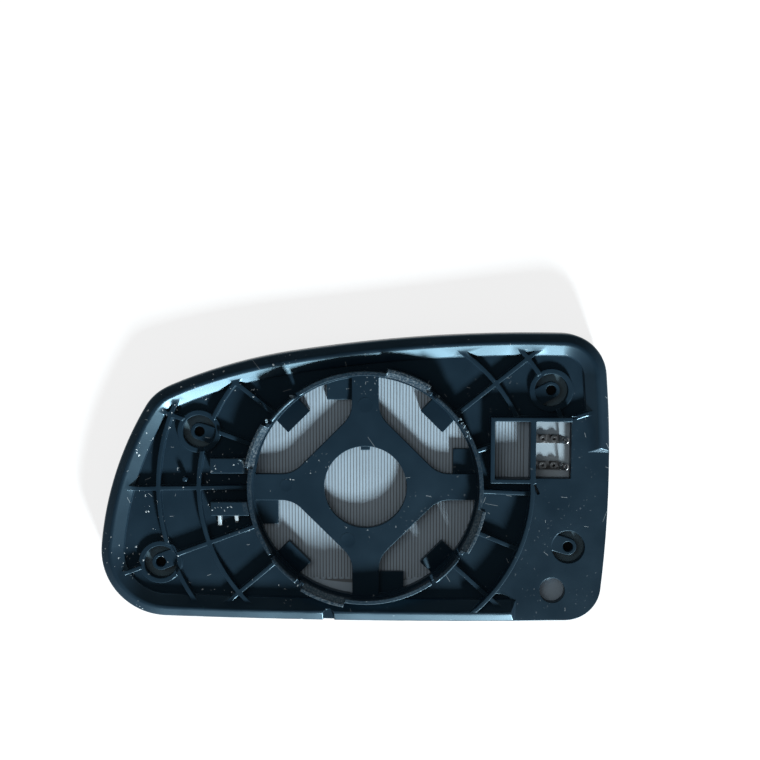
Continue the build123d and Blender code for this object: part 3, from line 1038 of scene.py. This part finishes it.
FLOOR_SIZE = 3.6
FLOOR_GLOW = 0.78
CAMERA_LENS = 53.53
CAMERA_PLACE = (5.27, 79.7, 402.0)
CAMERA_TILT = -5.8
KEY_AZIMUTH = (0.35, -0.94)
KEY_ELEVATION = 19.0
KEY_DISTANCE = 2.5
KEY_COLOUR = (0.84, 0.95, 1.0)
KEY_SIZE = 0.33
FILL_PLACE = (-0.7, 0.35, 0.95)
FILL_SIZE = 0.7
FILL_COLOUR = (1.0, 1.0, 1.0)
# Even light from all round; in reflections a pale backdrop under a dim ceiling
WORLD_LIGHT = 0.3
BACKDROP_TOP = 0.7
CEILING = 0.03
WORLD_COLOUR = (0.97, 0.98, 1.0, 1.0)


def aim(lamp, target):
    direction = Vector(target) - lamp.location
    lamp.rotation_euler = direction.to_track_quat("-Z", "Y").to_euler()


def background_rays(tree):
    """The rays that see the pale background straight, and those that see it in gloss or glass."""
    path = tree.nodes.new("ShaderNodeLightPath")
    glossy = path.outputs["Is Glossy Ray"]
    mirrored = math_node(tree, "ADD", glossy, path.outputs["Is Transmission Ray"], clamp=True)
    return path.outputs["Is Camera Ray"], mirrored


def floor_finish(colour):
    """Pale floor, near white to the eye, that keeps a soft shadow and is open from below."""
    material = bpy.data.materials.new("pale_floor")
    material.use_nodes = True
    tree = material.node_tree
    shader = tree.nodes["Principled BSDF"]
    shader.inputs["Base Color"].default_value = (*colour, 1.0)
    shader.inputs["Roughness"].default_value = 0.9
    seen = math_node(tree, "ADD", *background_rays(tree), clamp=True)
    share = math_node(tree, "MULTIPLY", seen, FLOOR_GLOW)
    white = tree.nodes.new("ShaderNodeEmission")
    mix = tree.nodes.new("ShaderNodeMixShader")
    tree.links.new(share, mix.inputs[0])
    tree.links.new(shader.outputs[0], mix.inputs[1])
    tree.links.new(white.outputs[0], mix.inputs[2])
    clear = tree.nodes.new("ShaderNodeBsdfTransparent")
    side = tree.nodes.new("ShaderNodeNewGeometry")
    both = tree.nodes.new("ShaderNodeMixShader")
    tree.links.new(side.outputs["Backfacing"], both.inputs[0])
    tree.links.new(mix.outputs[0], both.inputs[1])
    tree.links.new(clear.outputs[0], both.inputs[2])
    tree.links.new(both.outputs[0], tree.nodes["Material Output"].inputs["Surface"])
    return material


class MIRROR_OT_stage(bpy.types.Operator):
    """Plain floor, soft lights and the camera"""

    bl_idname = "mirror.stage"
    bl_label = "Stage"

    def execute(self, context):
        sizes = context.scene.mirror_stage
        scene = context.scene
        scene.view_settings.view_transform = "Standard"
        deselect_all()
        bpy.ops.mesh.primitive_plane_add(size=FLOOR_SIZE, location=(0.0, 0.0, CAD_LOW.z))
        floor = bpy.context.active_object
        floor.name = "floor"
        floor.data.materials.append(floor_finish(sizes.floor))
        floor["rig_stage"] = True

        across, along = KEY_AZIMUTH
        level = cos(radians(KEY_ELEVATION))
        key_place = (
            across * level * KEY_DISTANCE,
            along * level * KEY_DISTANCE,
            sin(radians(KEY_ELEVATION)) * KEY_DISTANCE,
        )
        lamps = (
            ("key_light", key_place, KEY_SIZE, sizes.key_power, KEY_COLOUR, True),
            ("fill_light", FILL_PLACE, FILL_SIZE, sizes.fill_power, FILL_COLOUR, False),
        )
        for name, place, size, power, colour, glossy in lamps:
            bpy.ops.object.light_add(type="AREA", location=place)
            lamp = bpy.context.active_object
            lamp.name = name
            lamp.data.size = size
            lamp.data.energy = power
            lamp.data.color = colour
            lamp.visible_glossy = glossy
            aim(lamp, (0.0, 0.0, 0.0))

        world = bpy.data.worlds.new("studio")
        scene.world = world
        world.use_nodes = True
        tree = world.node_tree
        back = tree.nodes["Background"]
        back.inputs["Color"].default_value = WORLD_COLOUR
        straight, mirrored = background_rays(tree)
        heading = split(tree, tree.nodes.new("ShaderNodeTexCoord").outputs["Generated"])
        around = map_range(tree, heading.outputs["Z"], 0.0, BACKDROP_TOP, 1.0, CEILING)
        seen = math_node(tree, "MULTIPLY_ADD", mirrored, around, straight)
        both = math_node(tree, "ADD", straight, mirrored)
        rest = math_node(tree, "SUBTRACT", 1.0, both, clamp=True)
        level = math_node(tree, "MULTIPLY_ADD", rest, WORLD_LIGHT, seen)
        tree.links.new(level, back.inputs["Strength"])

        bpy.ops.object.camera_add()
        camera = bpy.context.active_object
        camera.name = "camera"
        camera.location = [value * MM for value in CAMERA_PLACE]
        camera.rotation_euler = (radians(CAMERA_TILT), 0.0, 0.0)
        camera.data.lens = CAMERA_LENS
        camera.data.clip_start = 0.01
        scene.camera = camera
        deselect_all()
        return {"FINISHED"}


class MIRROR_PT_panel(bpy.types.Panel):
    """Lists the steps that build the mirror glass"""

    bl_idname = "MIRROR_PT_panel"
    bl_label = "Door mirror glass"
    bl_space_type = "VIEW_3D"
    bl_region_type = "UI"
    bl_category = "Mirror"

    def draw(self, context):
        for settings in SETTINGS:
            group = getattr(context.scene, settings)
            for name in group.bl_rna.properties.keys():
                if name not in ("rna_type", "name"):
                    self.layout.prop(group, name)
        for step in STEPS:
            self.layout.operator(step.bl_idname)


STEPS = (
    MIRROR_OT_carrier,
    MIRROR_OT_ejector_marks,
    MIRROR_OT_torn_bits,
    MIRROR_OT_heater_tracks,
    MIRROR_OT_film,
    MIRROR_OT_terminals,
    MIRROR_OT_rivets,
    MIRROR_OT_glass,
    MIRROR_OT_stage,
)
SETTINGS = {
    "mirror_carrier": CarrierSettings,
    "mirror_film": FilmSettings,
    "mirror_metal": MetalSettings,
    "mirror_stage": StageSettings,
}


def register():
    for settings in SETTINGS.values():
        bpy.utils.register_class(settings)
    for step in STEPS:
        bpy.utils.register_class(step)
    bpy.utils.register_class(MIRROR_PT_panel)
    for name, settings in SETTINGS.items():
        setattr(bpy.types.Scene, name, bpy.props.PointerProperty(type=settings))


def unregister():
    for name in SETTINGS:
        delattr(bpy.types.Scene, name)
    bpy.utils.unregister_class(MIRROR_PT_panel)
    for step in reversed(STEPS):
        bpy.utils.unregister_class(step)
    for settings in reversed(SETTINGS.values()):
        bpy.utils.unregister_class(settings)


def main():
    register()
    bpy.ops.mirror.carrier()
    bpy.ops.mirror.ejector_marks()
    bpy.ops.mirror.torn_bits()
    bpy.ops.mirror.heater_tracks()
    bpy.ops.mirror.film()
    bpy.ops.mirror.terminals()
    bpy.ops.mirror.rivets()
    bpy.ops.mirror.glass()
    bpy.ops.mirror.stage()


if __name__ == "__main__":
    main()
